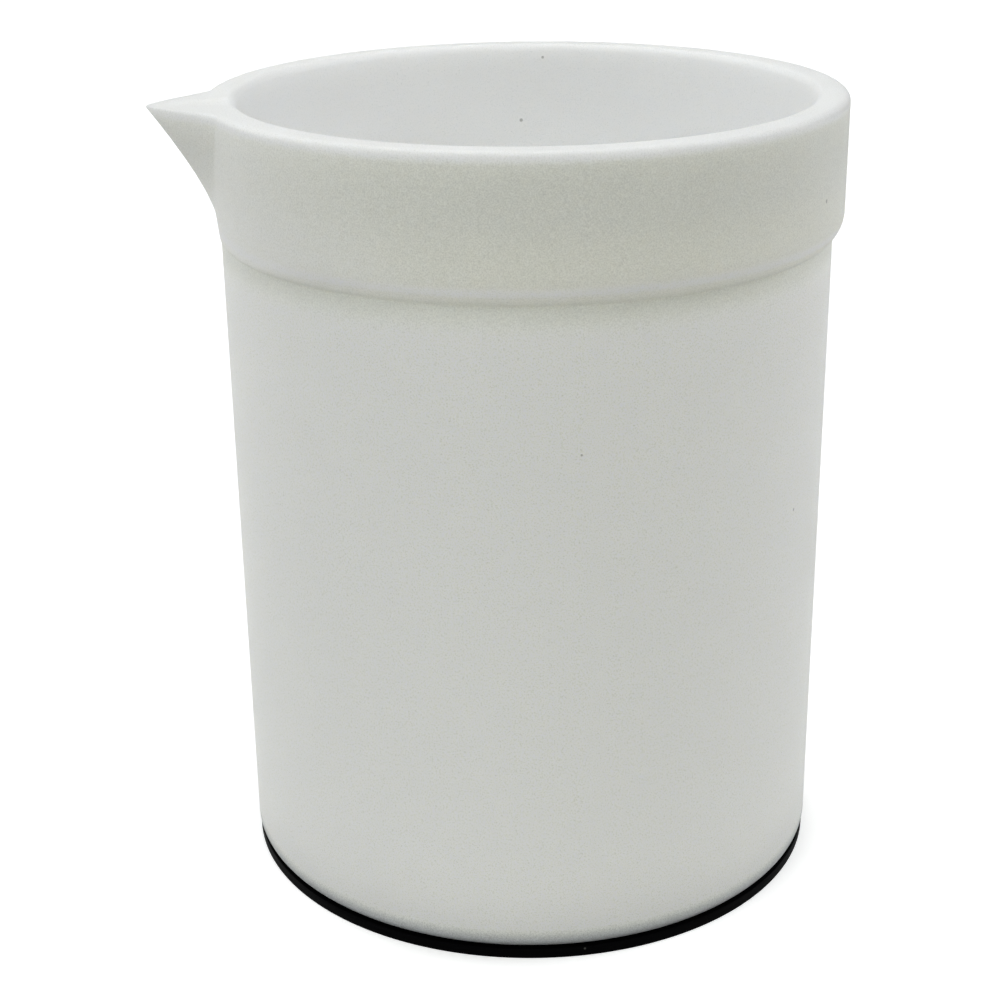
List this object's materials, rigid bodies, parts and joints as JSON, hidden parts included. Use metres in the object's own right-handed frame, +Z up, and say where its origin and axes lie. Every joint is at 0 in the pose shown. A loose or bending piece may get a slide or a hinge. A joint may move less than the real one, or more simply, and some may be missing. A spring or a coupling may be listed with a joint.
{
  "type": "beaker",
  "caption": "Thick-walled white PTFE laboratory beaker with a collar round its mouth, a pointed pouring spout and a black heat-conducting base disc.",
  "frame": {"origin": "middle of the underside of the base disc, the face that the beaker stands on, on the axis of the cup", "axes": "+Z up, along the axis of the cup and out of its mouth; -X towards the tip of the spout; +Y completes the right-handed frame, and the part is its own mirror image across the XZ plane"},
  "size_m": [0.0975, 0.09, 0.1146],
  "materials": {
    "ptfe_white": "matte to satin, slightly translucent white with a very fine grain and faint turning lines",
    "ptfe_black": "matte black, carbon filled"
  },
  "bodies": {
    "root": {"beaker_body": "ptfe_white", "base_disc": "ptfe_black"}
  },
  "joints": []
}
